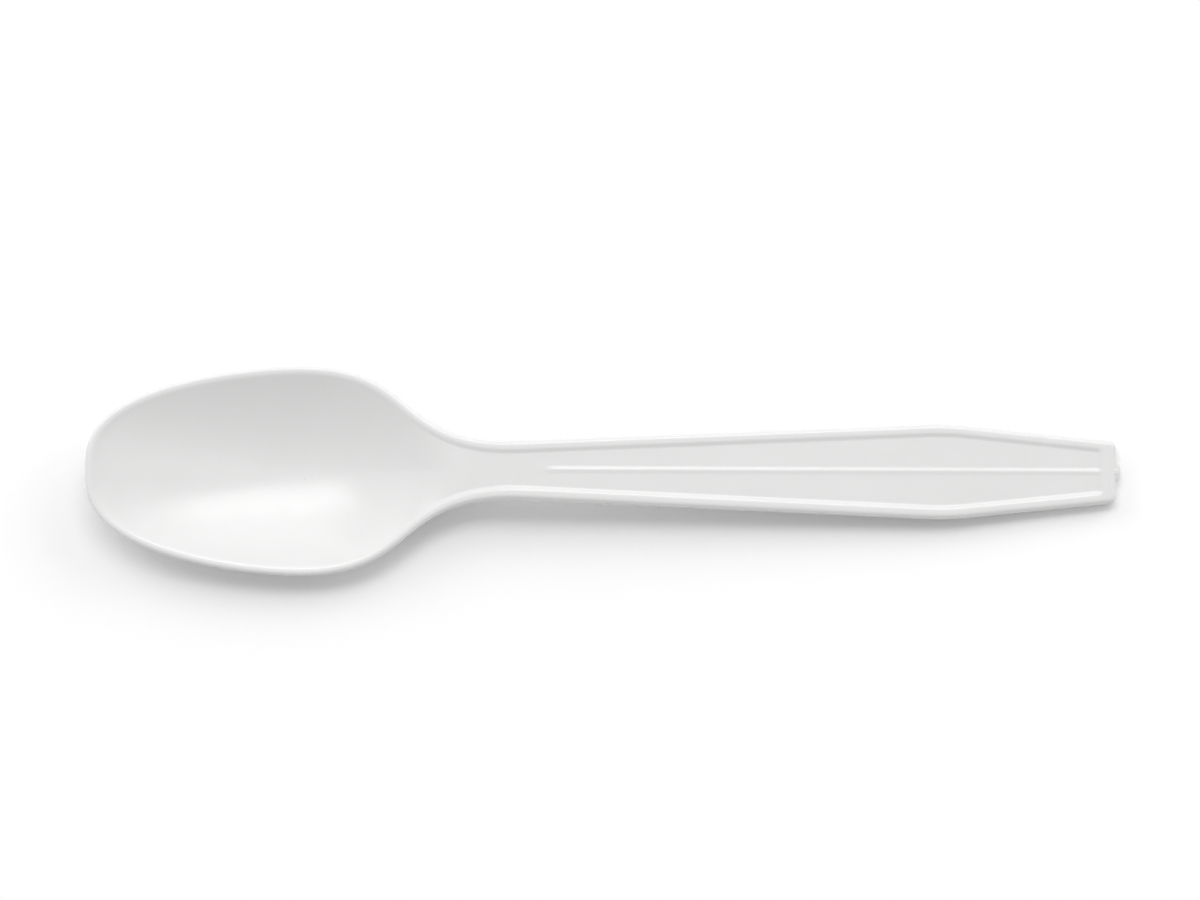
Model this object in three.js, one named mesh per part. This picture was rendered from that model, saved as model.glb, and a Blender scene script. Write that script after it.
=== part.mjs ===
// A disposable spoon of white polystyrene, moulded in one shot, as it lies on a table:
// on the round of its bowl and on the flat end of its handle.
// Millimetres, +Z up, the bowl towards -X and the handle towards +X, the table at Z = 0.
import * as THREE from "three";
import { mergeVertices } from "three/addons/utils/BufferGeometryUtils.js";

// Plan, along X from the tip of the bowl, widths across both edges
const LENGTH = 145;
const BOWL_WIDEST_AT = 30;
const BOWL_WIDTH = 29.5;
const TIP_FULLNESS = 2.7; // how square the round of the tip is, 2 being an ellipse
const FLANK_FULLNESS = 1.75; // how full the flanks are from the tip to the widest place, 2 being an ellipse
const NECK_AT = 61.2;
const NECK_WIDTH = 8.35;
const SHOULDER_REACH = 17.2; // pull of the curve that leaves the widest place of the bowl
const NECK_REACH = 18.3; // pull of the curve that runs into the neck
const KNEE_AT = 121;
const KNEE_WIDTH = 13.6;
const KNEE_SOFTNESS = 3; // length of edge that the knee's round takes on each side
const END_WIDTH = 8.75;
const END_CORNER = 1.1;

// Side view
const BOWL_DEPTH = 4; // from the foot of the lip to the bottom of the bowl, at the widest place
const BOWL_ENDS_AT = 52.5; // where the floor of the bowl has risen to the panel of the handle
const HOLLOW_ROUND = 1.75; // how round the bowl is across, 2 being a parabola
const RIM_LOWEST_AT = 38; // seen from the side, the rim dips between the tip and the neck
const TIP_LIFT = 2.2; // rise of the rim from there to the tip
const NECK_LIFT = 2.8; // rise of the rim from there towards the neck
const HANDLE_RISE = 4.9; // height of the handle at the neck over its end
const LYING_FLAT_FROM = 140.5; // the handle's last stretch lies flat on the table
const HANDLE_SWEEP = 1.1; // power of the handle's fall from the neck, 1 being straight
const NECK_BLEND = 1.2; // depth over which the rising rim turns into the falling handle

// Edge all round: a rounded outer shoulder, a narrow flat crest and a slope down to the floor.
// Round the bowl it is a thin lip that rolls into the wall; along the neck it grows into the
// bead of the handle, whose slope ends in a fillet on the panel.
const UNDER_ROUND = 0.4;
const LIP_ROUND = 0.5;
const LIP_FLAT = 0.1; // width of the crest
const LIP_SLOPE = 0.7; // width over which the crest rolls into the wall of the bowl
const LIP_STEP = 0.17; // fall of that roll
const LIP_THICK = 1.15; // crest to underside round the bowl
const BEAD_ROUND = 0.73;
const BEAD_FLAT = 0.45;
const BEAD_SLOPE = 0.8; // width of the slope inside the bead
const BEAD_HEIGHT = 0.23; // height of the crest over the panel of the handle
const HANDLE_THICK = 2.6; // crest to underside along the handle
const BEAD_GROWS_FROM = 40; // the lip grows into the bead between this place and the neck

// Middle rib of the handle, and the raised land that closes the panel at the end
const RIB_FROM = 63.8;
const RIB_RUN_IN = 2.2;
const RIB_WIDTH = 1.1;
const RIB_HEIGHT = 0.09;
const LAND_WIDTH = 1.7; // from the end to the top of the slope that rises from the panel
const LAND_SLOPE = 1.2;

// Stub of plastic left where the spoon was snapped from its runner
const GATE_WIDTH = 3;
const GATE_THICK = 1.3;
const GATE_LENGTH = 0.6;
const GATE_HEIGHT = 1.7; // of the middle of the stub over the table

// Points closer than this are one point
const WELD = 1e-4;

const PLASTIC = new THREE.MeshStandardMaterial({ color: 0xe1e1de, roughness: 0.24, metalness: 0 });

const ramp = (from, to, x) => THREE.MathUtils.clamp((x - from) / (to - from), 0, 1);
const smooth = (from, to, x) => THREE.MathUtils.smoothstep(x, from, to);
const mix = THREE.MathUtils.lerp;

// Lesser of two heights, with the corner between them rounded off
function softMin(a, b, reach) {
  const near = Math.max(reach - Math.abs(a - b), 0) / reach;
  return Math.min(a, b) - (near ** 3 * reach) / 6;
}

// Front of the bowl's outline, from the tip to the widest place, as a quarter of a superellipse
class BowlFront extends THREE.Curve {
  getPoint(t, target = new THREE.Vector2()) {
    const angle = (t * Math.PI) / 2;
    const x = BOWL_WIDEST_AT * (1 - Math.cos(angle) ** (2 / FLANK_FULLNESS));
    const y = (BOWL_WIDTH / 2) * Math.sin(angle) ** (2 / TIP_FULLNESS);
    return target.set(t === 1 ? BOWL_WIDEST_AT : x, y);
  }
}

// The spine runs from the deepest place of the bowl to the land
const SPINE_END = LENGTH - LAND_WIDTH;

// Width of the handle's last stretch, from the knee to the end
const taperWidth = (x) => mix(KNEE_WIDTH, END_WIDTH, (x - KNEE_AT) / (LENGTH - KNEE_AT));

// Half of the outline, from the tip round to the middle of the handle's end.
// Each stretch has its number of sections; long straight ones are cut where the surface changes.
function halfOutline() {
  const at = (x, width) => new THREE.Vector2(x, width / 2);
  const widest = at(BOWL_WIDEST_AT, BOWL_WIDTH);
  const neck = at(NECK_AT, NECK_WIDTH);
  const knee = at(KNEE_AT, KNEE_WIDTH);
  const alongSide = (x) => neck.clone().lerp(knee, (x - NECK_AT) / (KNEE_AT - NECK_AT));
  const alongTaper = (x) => at(x, taperWidth(x));

  const shoulder = at(BOWL_WIDEST_AT + SHOULDER_REACH, BOWL_WIDTH);
  const lean = Math.atan2((KNEE_WIDTH - END_WIDTH) / 2, LENGTH - KNEE_AT);
  const cornerX = LENGTH - END_CORNER;
  const cornerY = END_WIDTH / 2 - (END_CORNER * (1 - Math.sin(lean))) / Math.cos(lean);
  const cornerFrom = LENGTH - END_CORNER * (1 - Math.sin(lean));
  const kneeFrom = KNEE_AT - KNEE_SOFTNESS;
  const kneeTo = KNEE_AT + KNEE_SOFTNESS;
  const sideStops = [NECK_AT, RIB_FROM, RIB_FROM + RIB_RUN_IN, kneeFrom];
  const taperStops = [kneeTo, LYING_FLAT_FROM, SPINE_END - LAND_SLOPE, SPINE_END, cornerFrom];
  const straight = (along, stops, counts) =>
    counts.map((count, i) => [new THREE.LineCurve(along(stops[i]), along(stops[i + 1])), count]);

  const stretches = [
    [new BowlFront(), 18],
    [new THREE.CubicBezierCurve(widest, shoulder, alongSide(NECK_AT - NECK_REACH), neck), 22],
    ...straight(alongSide, sideStops, [1, 2, 12]),
    [new THREE.QuadraticBezierCurve(alongSide(kneeFrom), knee, alongTaper(kneeTo)), 4],
    ...straight(alongTaper, taperStops, [5, 2, 1, 1]),
    [new THREE.EllipseCurve(cornerX, cornerY, END_CORNER, END_CORNER, Math.PI / 2 - lean, 0, true), 4],
    [new THREE.LineCurve(at(LENGTH, 2 * cornerY), at(LENGTH, GATE_WIDTH)), 2],
    [new THREE.LineCurve(at(LENGTH, GATE_WIDTH), at(LENGTH, 0)), 4],
  ];
  const points = [{ point: at(0, 0), inward: new THREE.Vector2(1, 0) }];
  for (const [curve, count] of stretches) {
    for (let i = 1; i <= count; i++) {
      const along = curve.getTangent(i / count);
      points.push({ point: curve.getPoint(i / count), inward: new THREE.Vector2(along.y, -along.x) });
    }
  }
  return points;
}

// Height of the crest: a rim that dips along the bowl, then the handle falling to the table
function crestHeight(x) {
  const tipLift = (at) => TIP_LIFT * ramp(RIM_LOWEST_AT, 0, at) ** 2;
  const neckLift = NECK_LIFT * ramp(RIM_LOWEST_AT, NECK_AT, x) ** 2;
  const rim = LIP_THICK + BOWL_DEPTH + tipLift(x) - tipLift(BOWL_WIDEST_AT) + neckLift;
  const left = Math.max(LYING_FLAT_FROM - x, 0) / (LYING_FLAT_FROM - NECK_AT);
  const handle = HANDLE_THICK + HANDLE_RISE * left ** HANDLE_SWEEP;
  return softMin(rim, handle, NECK_BLEND);
}

// How far the bowl sinks below the foot of the lip, by the place of the section along the spine
function bowlSink(station) {
  const run = ramp(BOWL_WIDEST_AT, BOWL_ENDS_AT, station);
  return BOWL_DEPTH * (1 - run ** 2) ** 2;
}

// How far the stub of the gate stands out of the end face, as half of a flattened dome
function gateStub(y, z) {
  const across = y / (GATE_WIDTH / 2);
  const up = (z - GATE_HEIGHT) / (GATE_THICK / 2);
  return GATE_LENGTH * Math.sqrt(Math.max(1 - across ** 2 - up ** 2, 0));
}

// One section, from the spine over the top to the edge and back under to the spine.
// Sections stand square on the spine and fan out round its two ends, at the tip and on the land.
function section({ point, inward }) {
  const station = THREE.MathUtils.clamp(point.x, BOWL_WIDEST_AT, SPINE_END);
  const spine = new THREE.Vector2(station, 0);
  const sink = bowlSink(station);
  const grown = smooth(BEAD_GROWS_FROM, NECK_AT, station);
  const edgeRound = mix(LIP_ROUND, BEAD_ROUND, grown);
  const innerSlope = mix(LIP_SLOPE, BEAD_SLOPE, grown);
  const step = mix(LIP_STEP, BEAD_HEIGHT, grown);
  const thick = mix(LIP_THICK, HANDLE_THICK, grown);
  const panelShare = (x) => ramp(SPINE_END, SPINE_END - LAND_SLOPE, x);

  // A place so far in from the edge; past the shoulder, the land's sections run straight to the spine
  const inset = (depth) => {
    if (point.x <= SPINE_END) return point.clone().addScaledVector(inward, depth);
    const shoulder = point.clone().addScaledVector(inward, Math.min(depth, edgeRound));
    return shoulder.lerp(spine, Math.max(depth - edgeRound, 0) / LAND_WIDTH);
  };
  const rows = [];
  const lay = (p, drop) => rows.push(new THREE.Vector3(p.x, p.y, crestHeight(p.x) - drop));

  // Floor of the bowl and panel of the handle, with the rib along its middle
  const crestInset = edgeRound + mix(LIP_FLAT, BEAD_FLAT, grown);
  const foot = inset(crestInset + innerSlope);
  const ribShare = Math.min(RIB_WIDTH / 2 / foot.distanceTo(spine), 0.4);
  const floorSteps = 6;
  const shares = [0, ribShare / 2];
  for (let i = 0; i < floorSteps; i++) shares.push(mix(ribShare, 1, i / floorSteps));
  for (const share of shares) {
    const p = spine.clone().lerp(foot, share);
    const panel = panelShare(p.x);
    const rib = RIB_HEIGHT * ramp(RIB_FROM, RIB_FROM + RIB_RUN_IN, p.x) * Math.max(1 - share / ribShare, 0);
    lay(p, (step - rib) * panel + sink * (1 - share ** HOLLOW_ROUND));
  }
  // Slope up to the crest, and the shoulder outside it
  for (const share of [1, 0.75, 0.5, 0.25, 0]) {
    const p = inset(crestInset + innerSlope * share);
    lay(p, step * panelShare(p.x) * mix(share ** 2, smooth(0, 1, share), grown));
  }
  for (const degrees of [90, 60, 30, 0]) {
    const turn = THREE.MathUtils.degToRad(degrees);
    lay(inset(edgeRound * (1 - Math.cos(turn))), edgeRound * (1 - Math.sin(turn)));
  }
  // Upright edge, the round under it and the underside
  lay(point, (edgeRound + thick - UNDER_ROUND) / 2);
  for (const degrees of [0, 45]) {
    const turn = THREE.MathUtils.degToRad(degrees);
    lay(inset(UNDER_ROUND * (1 - Math.cos(turn))), thick - UNDER_ROUND * (1 - Math.sin(turn)));
  }
  const underFoot = inset(UNDER_ROUND);
  const underSteps = 7;
  for (let i = underSteps; i >= 0; i--) {
    const share = i / underSteps;
    lay(spine.clone().lerp(underFoot, share), thick + sink * (1 - share ** HOLLOW_ROUND));
  }
  for (const v of rows) {
    const stub = gateStub(v.y, v.z);
    if (v.x > LENGTH - END_CORNER && stub > 0) v.x = LENGTH + stub;
  }
  return rows;
}

// The sections are skinned to one half of the spoon, and the other half is its mirror image
function spoonSkin() {
  const sections = halfOutline().map(section);
  const corners = [];
  for (const side of [1, -1]) {
    const place = (v) => new THREE.Vector3(v.x, v.y * side, v.z);
    const face = (...loop) => {
      const [a, b, c] = loop.map(place);
      const apart = a.distanceTo(b) > WELD && b.distanceTo(c) > WELD && c.distanceTo(a) > WELD;
      if (apart) corners.push(a, ...(side > 0 ? [b, c] : [c, b]));
    };
    for (let i = 0; i + 1 < sections.length; i++) {
      for (let j = 0; j + 1 < sections[i].length; j++) {
        const [a, b] = sections[i].slice(j, j + 2);
        const [d, c] = sections[i + 1].slice(j, j + 2);
        face(a, c, b);
        face(a, d, c);
      }
    }
  }
  return mergeVertices(new THREE.BufferGeometry().setFromPoints(corners), WELD);
}

const geometry = spoonSkin();
geometry.computeVertexNormals();
const spoon = new THREE.Mesh(geometry, PLASTIC);
spoon.name = "spoon";
spoon.position.x = -(LENGTH + GATE_LENGTH) / 2;

const part = new THREE.Group();
part.name = "plastic_spoon";
part.add(spoon);
export default part;
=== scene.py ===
import math

import bpy
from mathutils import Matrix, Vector


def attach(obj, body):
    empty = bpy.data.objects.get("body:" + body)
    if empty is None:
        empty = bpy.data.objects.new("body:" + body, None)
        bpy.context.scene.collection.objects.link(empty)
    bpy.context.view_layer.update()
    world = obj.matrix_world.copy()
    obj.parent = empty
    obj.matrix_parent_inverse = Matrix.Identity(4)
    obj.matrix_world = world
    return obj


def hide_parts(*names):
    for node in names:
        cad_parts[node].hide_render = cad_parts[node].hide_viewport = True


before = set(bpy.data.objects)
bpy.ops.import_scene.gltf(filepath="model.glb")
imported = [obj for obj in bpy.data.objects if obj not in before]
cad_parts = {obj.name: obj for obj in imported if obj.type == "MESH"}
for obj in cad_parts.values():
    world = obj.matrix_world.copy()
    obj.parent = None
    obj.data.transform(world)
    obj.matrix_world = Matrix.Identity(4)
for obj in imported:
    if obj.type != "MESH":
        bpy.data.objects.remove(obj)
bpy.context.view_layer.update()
scene = bpy.context.scene


# The spoon is one injection moulding of white polystyrene, its bowl a little over a millimetre thick.
# The lip of the bowl runs on as a bead along both sides of the handle, a rib stiffens the panel
# between them, and a torn stub at the end shows where the melt came in.
mm = 0.001

# Places along the spoon are measured from the tip of the bowl, and widths across both edges.
spoon_sizes = {
    "Length": 145 * mm,
    "Widest At": 30 * mm,
    "Bowl Width": 29.5 * mm,
    "Neck At": 61.2 * mm,
    "Neck Width": 8.35 * mm,
    "Knee At": 121 * mm,
    "Knee Width": 13.6 * mm,
    "End Width": 8.75 * mm,
    "End Corner": 1.1 * mm,
    "Bowl Depth": 4 * mm,
    "Bowl Ends At": 52.5 * mm,
    "Rim Lowest At": 38 * mm,
    "Tip Lift": 2.2 * mm,
    "Neck Lift": 2.8 * mm,
    "Handle Rise": 4.9 * mm,
    "Lying Flat From": 140.5 * mm,
    "Neck Blend": 1.2 * mm,
    "Lip Round": 0.5 * mm,
    "Bead Round": 0.73 * mm,
    "Lip Flat": 0.1 * mm,
    "Bead Flat": 0.45 * mm,
    "Lip Slope": 0.7 * mm,
    "Bead Slope": 0.8 * mm,
    "Under Round": 0.4 * mm,
    "Lip Step": 0.17 * mm,
    "Lip Thickness": 1.15 * mm,
    "Bead Height": 0.23 * mm,
    "Handle Thickness": 2.6 * mm,
    "Bead Grows From": 40 * mm,
    "Rib From": 63.8 * mm,
    "Rib Run In": 2.2 * mm,
    "Rib Width": 1.1 * mm,
    "Rib Height": 0.09 * mm,
    "Land Width": 1.7 * mm,
    "Land Slope": 1.2 * mm,
    "Gate Width": 3 * mm,
    "Gate Thickness": 1.3 * mm,
    "Gate Length": 0.6 * mm,
    "Gate Height": 1.7 * mm,
    "Tear Roughness": 0.2 * mm,
    "Flash Height": 0.14 * mm,
    "Flash Spread": 0.5 * mm,
    "Dent Depth": 0.06 * mm,
    "Dent Spread": 1.4 * mm,
    "Scuff Depth": 0.12 * mm,
    "Scuff Spread": 1.5 * mm,
}
TIP_FULLNESS = 2.7  # how square the round of the tip is, 2 being an ellipse
FLANK_FULLNESS = 1.75  # how full the flanks are from the tip to the widest place
SHOULDER_REACH = 17.2 * mm  # pull of the curve that leaves the widest place
NECK_REACH = 18.3 * mm  # pull of the curve that runs into the neck
KNEE_SOFTNESS = 3 * mm  # length of edge that the round of the knee takes on each side
HOLLOW_ROUND = 1.75  # how round the bowl is across, 2 being a parabola
HANDLE_SWEEP = 1.1  # power of the handle's fall from the neck to the table


def bezier(*pulls):
    """A curve from the first point to the last, drawn towards those between; two make a line."""

    def at(share):
        points = list(pulls)
        while len(points) > 1:
            points = [a.lerp(b, share) for a, b in zip(points, points[1:])]
        return points[0]

    return at


def half_outline():
    """The edge from the tip round to the middle of the handle's end, a point for each section."""
    size = spoon_sizes
    edge = lambda x, width: Vector((x, width / 2))
    tip_spread = TIP_FULLNESS / 2

    def bowl_front(share):
        turn = share**tip_spread * math.pi / 2
        x = size["Widest At"] * (1 - max(math.cos(turn), 0) ** (2 / FLANK_FULLNESS))
        return edge(x, size["Bowl Width"] * math.sin(turn) ** (2 / TIP_FULLNESS))

    widest = edge(size["Widest At"], size["Bowl Width"])
    neck = edge(size["Neck At"], size["Neck Width"])
    knee = edge(size["Knee At"], size["Knee Width"])
    end = edge(size["Length"], size["End Width"])
    along_side = lambda x: neck.lerp(knee, (x - neck.x) / (knee.x - neck.x))
    along_taper = lambda x: knee.lerp(end, (x - knee.x) / (end.x - knee.x))
    lean = math.atan2(knee.y - end.y, end.x - knee.x)
    round_by = size["End Corner"]
    corner_from = end.x - round_by * (1 - math.sin(lean))
    middle = Vector((end.x - round_by, end.y - round_by * (1 - math.sin(lean)) / math.cos(lean)))

    def corner(share):
        turn = (math.pi / 2 - lean) * (1 - share)
        return middle + round_by * Vector((math.cos(turn), math.sin(turn)))

    land_from = end.x - size["Land Width"]
    taper_stops = [knee.x + KNEE_SOFTNESS, land_from - size["Land Slope"], land_from, corner_from]
    taper = [bezier(*map(along_taper, stops)) for stops in zip(taper_stops, taper_stops[1:])]
    gate = edge(end.x, size["Gate Width"])
    stretches = [
        (bowl_front, 170),
        (bezier(widest, widest + Vector((SHOULDER_REACH, 0)), along_side(neck.x - NECK_REACH), neck), 170),
        (bezier(neck, along_side(knee.x - KNEE_SOFTNESS)), 150),
        (bezier(along_side(knee.x - KNEE_SOFTNESS), knee, along_taper(taper_stops[0])), 24),
        (taper[0], 46),
        (taper[1], 8),
        (taper[2], 6),
        (corner, 12),
        (bezier(edge(end.x, 2 * middle.y), gate), 10),
        (bezier(gate, Vector((end.x, 0))), 14),
    ]
    points = [Vector((0, 0))]
    for curve, sections in stretches:
        points += [curve((i + 1) / sections) for i in range(sections)]
    return points


# The tree stands a section on every point of the outline, square to the edge, and skins them.
# One half is lofted and the other is its mirror image.
loft = bpy.data.node_groups.new("lofted_spoon", "GeometryNodeTree")
loft.is_modifier = True
loft.interface.new_socket("Outline", in_out="INPUT", socket_type="NodeSocketGeometry")
for size_name in spoon_sizes:
    loft.interface.new_socket(size_name, in_out="INPUT", socket_type="NodeSocketFloat")
loft.interface.new_socket("Plastic", in_out="INPUT", socket_type="NodeSocketMaterial")
loft.interface.new_socket("Spoon", in_out="OUTPUT", socket_type="NodeSocketGeometry")
given = loft.nodes.new("NodeGroupInput")


class Field:
    """A number that differs from point to point, so that a rule is written as arithmetic."""

    def __init__(self, socket):
        self.socket = socket


def step(kind, inputs, **settings):
    """Adds one node to the tree and gives its outputs."""
    node = loft.nodes.new(kind)
    for name, value in settings.items():
        setattr(node, name, value)
    sockets = [socket for socket in node.inputs if socket.enabled]
    for socket, value in zip(sockets, inputs):
        if isinstance(value, Field):
            loft.links.new(value.socket, socket)
        elif value is not None:
            socket.default_value = value
    outputs = [socket for socket in node.outputs if socket.enabled]
    return [Field(socket) for socket in outputs]


def count(operation, *terms):
    return step("ShaderNodeMath", terms, operation=operation)[0]


for python_name, operation in (
    ("add", "ADD"),
    ("sub", "SUBTRACT"),
    ("mul", "MULTIPLY"),
    ("truediv", "DIVIDE"),
    ("pow", "POWER"),
):
    setattr(Field, f"__{python_name}__", lambda a, b, do=operation: count(do, a, b))
    setattr(Field, f"__r{python_name}__", lambda a, b, do=operation: count(do, b, a))


def ramp(start, stop, at):
    """0 at start and before, 1 at stop and after, straight between."""
    return step("ShaderNodeMapRange", [at, start, stop, 0, 1])[0]


def smooth(start, stop, at):
    return step("ShaderNodeMapRange", [at, start, stop, 0, 1], interpolation_type="SMOOTHSTEP")[0]


def mix(a, b, share):
    return a + (b - a) * share


def split(vector):
    return step("ShaderNodeSeparateXYZ", [vector])


S = {size_name: Field(given.outputs[size_name]) for size_name in spoon_sizes}
spine_end = S["Length"] - S["Land Width"]

# Rows of the grid run from the middle over the top to the edge and back underneath
bands = {
    "floor": 28,
    "slope": 8,
    "crest": 2,
    "shoulder": 7,
    "edge": 8,
    "under round": 4,
    "underside": 14,
}
row_count = sum(bands.values())
(outline_curve,) = step("GeometryNodeMeshToCurve", [Field(given.outputs["Outline"])])
section_count = step("GeometryNodeAttributeDomainSize", [outline_curve], component="CURVE")[0]
grid = step("GeometryNodeMeshGrid", [1, 1, section_count, row_count + 1])[0]
(place,) = step("GeometryNodeInputPosition", [])
grid_x, grid_y, _ = split(place)
section_number = count("ROUND", (grid_x + 0.5) * (section_count - 1))
row = (grid_y + 0.5) * row_count


def at_section(value):
    return step(
        "GeometryNodeSampleIndex",
        [outline_curve, value, section_number],
        data_type="FLOAT_VECTOR",
        domain="POINT",
    )[0]


edge_x, edge_y, _ = split(at_section(place))
run_x, run_y, _ = split(at_section(step("GeometryNodeInputTangent", [])[0]))

# How far each row has got through each band of the section
through = {}
first_row = 0
for band, rows in bands.items():
    through[band] = ramp(first_row, first_row + rows, row)
    first_row += rows

# Sections stand square on a spine from the deepest place of the bowl to the land, and fan out
# round its two ends; along the neck the lip grows into the handle's bead.
station = count("MINIMUM", count("MAXIMUM", edge_x, S["Widest At"]), spine_end)
grown = smooth(S["Bead Grows From"], S["Neck At"], station)
edge_round = mix(S["Lip Round"], S["Bead Round"], grown)
crest_flat = mix(S["Lip Flat"], S["Bead Flat"], grown)
inner_slope = mix(S["Lip Slope"], S["Bead Slope"], grown)

# How far in from the edge a row lies, and how far back towards the middle
shoulder_turn = (1 - through["shoulder"]) * (math.pi / 2)
under_turn = through["under round"] * (math.pi / 2)
inset = (
    inner_slope * (1 - through["slope"])
    + crest_flat * (1 - through["crest"])
    + edge_round * (1 - count("COSINE", shoulder_turn))
    + S["Under Round"] * (1 - count("COSINE", under_turn))
)
to_middle = 1 - through["floor"] + through["underside"]

# On the land the sections run straight to the spine past the shoulder
on_land = count("GREATER_THAN", edge_x, spine_end)
past_shoulder = count("MAXIMUM", inset - edge_round, 0) * on_land
back = 1 - (1 - to_middle) * (1 - past_shoulder / S["Land Width"])
square_in = inset - past_shoulder
x = mix(edge_x + run_y * square_in, station, back)
y = count("MAXIMUM", (edge_y - run_x * square_in) * (1 - back), 0)

# Height of the crest: a rim that dips along the bowl, then the handle falling to the table
level = S["Lip Thickness"] + S["Bowl Depth"]
tip_lift = lambda place: S["Tip Lift"] * ramp(S["Rim Lowest At"], 0, place) ** 2
neck_lift = S["Neck Lift"] * ramp(S["Rim Lowest At"], S["Neck At"], x) ** 2
rim = level + tip_lift(x) - tip_lift(S["Widest At"]) + neck_lift
left_to_fall = count("MAXIMUM", S["Lying Flat From"] - x, 0) / (S["Lying Flat From"] - S["Neck At"])
falling = S["Handle Thickness"] + S["Handle Rise"] * left_to_fall**HANDLE_SWEEP
crest = count("SMOOTH_MIN", rim, falling, S["Neck Blend"])

# Drop from the crest: the step to the floor, the hollow of the bowl, the edge and the wall
lip = mix(S["Lip Step"], S["Bead Height"], grown)
thickness = mix(S["Lip Thickness"], S["Handle Thickness"], grown)
panel = smooth(spine_end, spine_end - S["Land Slope"], x)
down_slope = 1 - through["slope"]
floor_step = lip * panel * mix(down_slope**2, smooth(0, 1, down_slope), grown)
bowl_run = ramp(S["Widest At"], S["Bowl Ends At"], station)
hollow = S["Bowl Depth"] * (1 - bowl_run**2) ** 2 * (1 - (1 - to_middle) ** HOLLOW_ROUND)
edge_drop = (
    edge_round * (1 - count("SINE", shoulder_turn))
    + (thickness - S["Under Round"] - edge_round) * through["edge"]
    + S["Under Round"] * count("SINE", under_turn)
)
on_floor = count("LESS_THAN", row, bands["floor"] + 0.5)
rib_length = smooth(S["Rib From"], S["Rib From"] + S["Rib Run In"], x)
rib = S["Rib Height"] * rib_length * panel * on_floor * ramp(S["Rib Width"] / 2, 0, y)
z = crest - floor_step - hollow - edge_drop + rib

# The torn stub of the gate stands out of the end face as half of a flattened dome
gate_across = y / (S["Gate Width"] / 2)
gate_up = (z - S["Gate Height"]) / (S["Gate Thickness"] / 2)
gate_round = count("SQRT", count("MAXIMUM", 1 - gate_across**2 - gate_up**2, 0))
on_end = count("GREATER_THAN", x, S["Length"] - S["End Corner"])
x = mix(x, S["Length"] + S["Gate Length"] * gate_round, on_end * count("GREATER_THAN", gate_round, 0))

centred_x = x - (S["Length"] + S["Gate Length"]) / 2
(laid_out,) = step("ShaderNodeCombineXYZ", [centred_x, y, z])
(half,) = step("GeometryNodeSetPosition", [grid, None, laid_out])
(mirrored,) = step("GeometryNodeTransform", [half, None, None, (1, -1, 1)])
(mirrored,) = step("GeometryNodeFlipFaces", [mirrored])
join = loft.nodes.new("GeometryNodeJoinGeometry")
for side in (half, mirrored):
    loft.links.new(side.socket, join.inputs[0])
(closed,) = step("GeometryNodeMergeByDistance", [Field(join.outputs[0]), None, 0.002 * mm])

# Marks of the making: the grain of the torn gate, a nub of flash on the rim of the bowl, and a
# dent and a scuff on the beads of the handle
FLASH_AT = Vector((-44.4, -14.7, 4.6)) * mm
DENT_AT = Vector((62.3, 4.6, 2.7)) * mm
SCUFF_AT = Vector((54.2, -5, 2.9)) * mm
TEAR_STARTS = 0.05 * mm  # how far out of the end face the gate starts to be torn
TEAR_FULL = 0.3 * mm  # how far out it is torn all over
GRAINS_PER_METRE = 2600
(place,) = step("GeometryNodeInputPosition", [])
normal = step("GeometryNodeInputNormal", [])[0]
grain = step("ShaderNodeTexNoise", [place, GRAINS_PER_METRE, 3, 0.6])[0] - 0.5


def around(centre, spread):
    """1 at a place on the spoon, falling to 0 at its spread."""
    (distance,) = step("ShaderNodeVectorMath", [place, centre], operation="DISTANCE")
    return smooth(spread, 0, distance)


end_face = (S["Length"] - S["Gate Length"]) / 2
torn = smooth(end_face + TEAR_STARTS, end_face + TEAR_FULL, split(place)[0])
proud = (
    S["Tear Roughness"] * grain * torn
    + S["Flash Height"] * around(FLASH_AT, S["Flash Spread"])
    - S["Dent Depth"] * around(DENT_AT, S["Dent Spread"])
    + S["Scuff Depth"] * grain * around(SCUFF_AT, S["Scuff Spread"])
)
(push,) = step("ShaderNodeVectorMath", [normal, proud], operation="SCALE")
(marked,) = step("GeometryNodeSetPosition", [closed, None, None, push])
(smoothed,) = step("GeometryNodeSetShadeSmooth", [marked])
(realized,) = step("GeometryNodeRealizeInstances", [smoothed])
(finished,) = step("GeometryNodeSetMaterial", [realized, None, Field(given.outputs["Plastic"])])
result = loft.nodes.new("NodeGroupOutput")
loft.links.new(finished.socket, result.inputs[0])

# White polystyrene, softly glossy: it clouds faintly where the melt flowed, holds a few specks of
# dust, and has the fine unevenness of a polished but worn tool.
white_plastic = bpy.data.materials.new("white_polystyrene")
white_plastic.use_nodes = True
shader = white_plastic.node_tree.nodes["Principled BSDF"]
shader.inputs["Subsurface Weight"].default_value = 0.2
shader.inputs["Subsurface Radius"].default_value = (1, 1, 1)
shader.inputs["Subsurface Scale"].default_value = 0.8 * mm
shading = white_plastic.node_tree
on_spoon = shading.nodes.new("ShaderNodeTexCoord").outputs["Object"]


def mottle(scale, detail):
    """An uneven share between 0 and 1, its patches one over scale of a metre long."""
    noise = shading.nodes.new("ShaderNodeTexNoise")
    noise.inputs["Scale"].default_value = scale
    noise.inputs["Detail"].default_value = detail
    shading.links.new(on_spoon, noise.inputs["Vector"])
    return noise.outputs[0]


def grade(share, *stops):
    """Turns a share into a colour that runs between two stops, each a share and its colour."""
    scale = shading.nodes.new("ShaderNodeValToRGB")
    for element, (position, colour) in zip(scale.color_ramp.elements, stops):
        element.position = position
        element.color = (*colour, 1)
    shading.links.new(share, scale.inputs[0])
    return scale.outputs["Color"]


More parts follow.
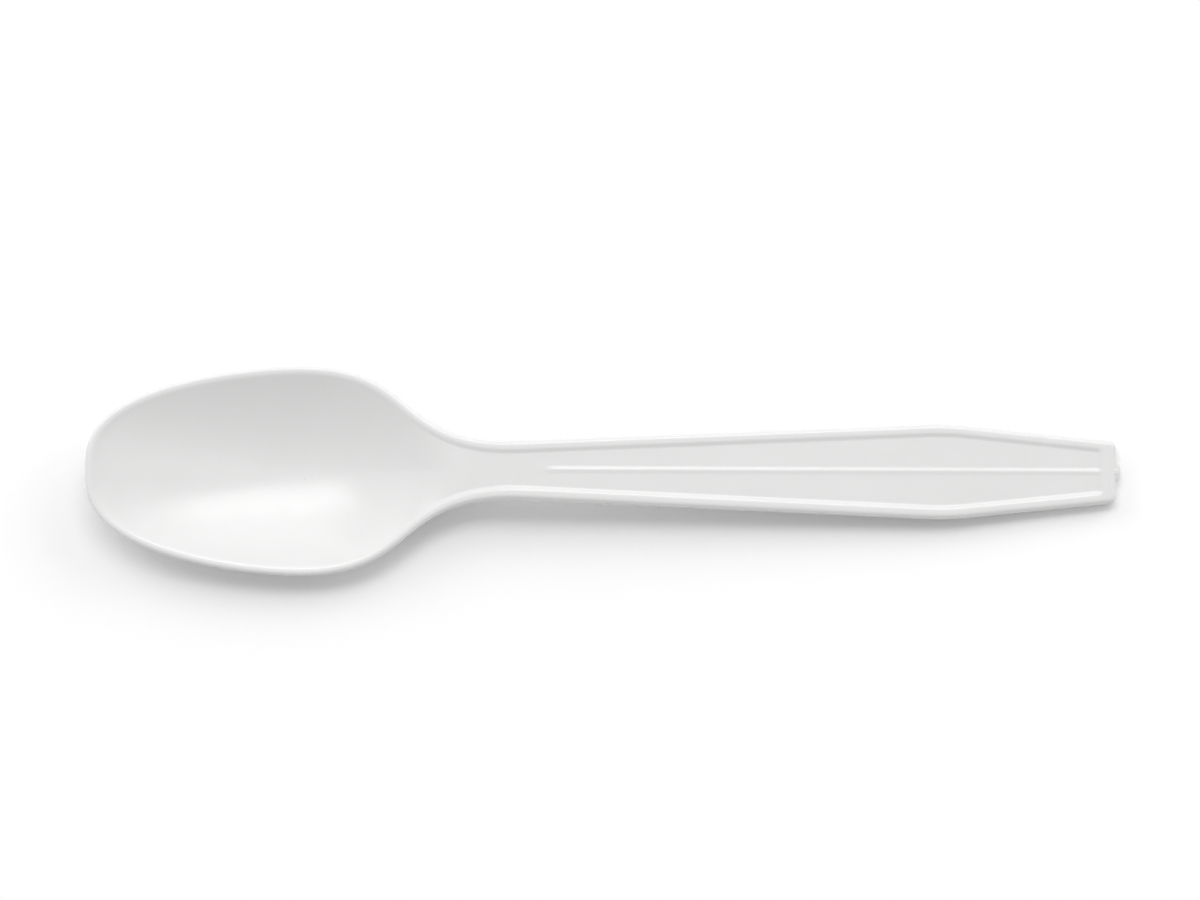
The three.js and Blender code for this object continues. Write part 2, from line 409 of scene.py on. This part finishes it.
cloudy = grade(mottle(90, 4), (0.3, (0.742, 0.742, 0.738)), (0.7, (0.756, 0.756, 0.753)))
dust = shading.nodes.new("ShaderNodeTexVoronoi")
dust.inputs["Scale"].default_value = 170
shading.links.new(on_spoon, dust.inputs["Vector"])
specked = grade(dust.outputs["Distance"], (0.012, (0.86, 0.86, 0.85)), (0.022, (1, 1, 1)))
dusted = shading.nodes.new("ShaderNodeMix")
dusted.data_type = "RGBA"
dusted.blend_type = "MULTIPLY"
dusted.inputs[0].default_value = 1
shading.links.new(cloudy, dusted.inputs[6])
shading.links.new(specked, dusted.inputs[7])
shading.links.new(dusted.outputs[2], shader.inputs["Base Color"])
gloss = grade(mottle(260, 3), (0.3, (0.2, 0.2, 0.2)), (0.7, (0.26, 0.26, 0.26)))
shading.links.new(gloss, shader.inputs["Roughness"])
peel = shading.nodes.new("ShaderNodeBump")
peel.inputs["Strength"].default_value = 0.06
peel.inputs["Distance"].default_value = 0.02 * mm
shading.links.new(mottle(900, 2), peel.inputs["Height"])
shading.links.new(peel.outputs["Normal"], shader.inputs["Normal"])

# The outline goes into the tree, and the loft that comes out becomes the spoon's own mesh
outline_points = [point.to_3d() for point in half_outline()]
outline_mesh = bpy.data.meshes.new("spoon_outline")
outline_mesh.from_pydata(outline_points, [(i, i + 1) for i in range(len(outline_points) - 1)], [])
spoon = bpy.data.objects.new("moulded_spoon", outline_mesh)
lofting = spoon.modifiers.new("lofted_spoon", "NODES")
lofting.node_group = loft
for item in loft.interface.items_tree:
    if item.name in spoon_sizes:
        lofting[item.identifier] = spoon_sizes[item.name]
    elif item.name == "Plastic":
        lofting[item.identifier] = white_plastic
scene.collection.objects.link(spoon)
evaluated = spoon.evaluated_get(bpy.context.evaluated_depsgraph_get())
spoon_mesh = bpy.data.meshes.new_from_object(evaluated)
spoon.modifiers.clear()
spoon.data = spoon_mesh
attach(spoon, "root")
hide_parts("spoon")


# The table is a large sheet of matt white paper laid flat under the spoon.
# It lies a hair below the spoon, so that the flat end of the handle and the paper do not fight.
half_side = 2  # metres
below_spoon = 0.02 * mm
table_corners = [(x * half_side, y * half_side, 0) for x, y in ((-1, -1), (1, -1), (1, 1), (-1, 1))]
table_mesh = bpy.data.meshes.new("table")
table_mesh.from_pydata(table_corners, [], [(0, 1, 2, 3)])
table = bpy.data.objects.new("table", table_mesh)
table.location.z = -below_spoon
scene.collection.objects.link(table)
paper = bpy.data.materials.new("white_paper")
paper.use_nodes = True
paper_shader = paper.node_tree.nodes["Principled BSDF"]
paper_shader.inputs["Base Color"].default_value = (0.97, 0.97, 0.97, 1)
paper_shader.inputs["Roughness"].default_value = 0.9
paper_shader.inputs["Specular IOR Level"].default_value = 0
table_mesh.materials.append(paper)


# The light is a white room that glows evenly and four cloth boxes hung round the spoon:
# a bright one high behind it, which the bowl mirrors, a dimmer one under that, and a wide panel
# low on each side. The room is seen as white, and gives no more light for it.
world = bpy.data.worlds.new("studio")
world.use_nodes = True
sky = world.node_tree.nodes["Background"]
sky.inputs["Color"].default_value = (1, 1, 1, 1)
sky.inputs["Strength"].default_value = 0.5
seen_white = world.node_tree.nodes.new("ShaderNodeBackground")
seen_white.inputs["Color"].default_value = (1, 1, 1, 1)
seen_white.inputs["Strength"].default_value = 1
seen_or_felt = world.node_tree.nodes.new("ShaderNodeMixShader")
ray = world.node_tree.nodes.new("ShaderNodeLightPath")
world.node_tree.links.new(ray.outputs["Is Camera Ray"], seen_or_felt.inputs[0])
world.node_tree.links.new(sky.outputs[0], seen_or_felt.inputs[1])
world.node_tree.links.new(seen_white.outputs[0], seen_or_felt.inputs[2])
world.node_tree.links.new(seen_or_felt.outputs[0], world.node_tree.nodes["World Output"].inputs["Surface"])
scene.world = world
BOX_DISTANCE = 2.4  # metres from the spoon


def hang_softbox(name, width, height, bearing, elevation, energy):
    """A box in metres and watts, its bearing and elevation in degrees as seen from the spoon."""
    lamp = bpy.data.lights.new(name, "AREA")
    lamp.shape = "RECTANGLE"
    lamp.size = width
    lamp.size_y = height
    lamp.energy = energy
    stand = bpy.data.objects.new(name, lamp)
    across = math.radians(bearing)
    up = math.radians(elevation)
    away = math.cos(up)
    stand.location = BOX_DISTANCE * Vector((away * math.sin(across), away * math.cos(across), math.sin(up)))
    stand.rotation_euler = stand.location.to_track_quat("Z", "Y").to_euler()
    scene.collection.objects.link(stand)


hang_softbox("softbox", 1.9, 0.7, -8, 64, 19)
hang_softbox("softbox_skirt", 1.4, 0.65, 0, 48, 5)
hang_softbox("left_panel", 2.2, 1, -50, 29, 14)
hang_softbox("right_panel", 2.2, 1, 50, 29, 16)


# The camera looks down almost plumb from a little in front of the spoon, with a long lens, so
# that the bowl lies on the left and the handle on the right.
camera = bpy.data.cameras.new("camera")
camera.sensor_fit = "HORIZONTAL"
camera.sensor_width = 36
camera.lens = 136.4
camera_stand = bpy.data.objects.new("camera", camera)
target = Vector((-0.65, 2.95, 4)) * mm
elevation = math.radians(86)
camera_distance = 640 * mm
to_camera = Vector((0, -math.cos(elevation), math.sin(elevation)))
camera_stand.location = target + camera_distance * to_camera
camera_stand.rotation_euler = (target - camera_stand.location).to_track_quat("-Z", "Y").to_euler()
scene.collection.objects.link(camera_stand)
scene.camera = camera_stand

scene.view_settings.view_transform = "Standard"
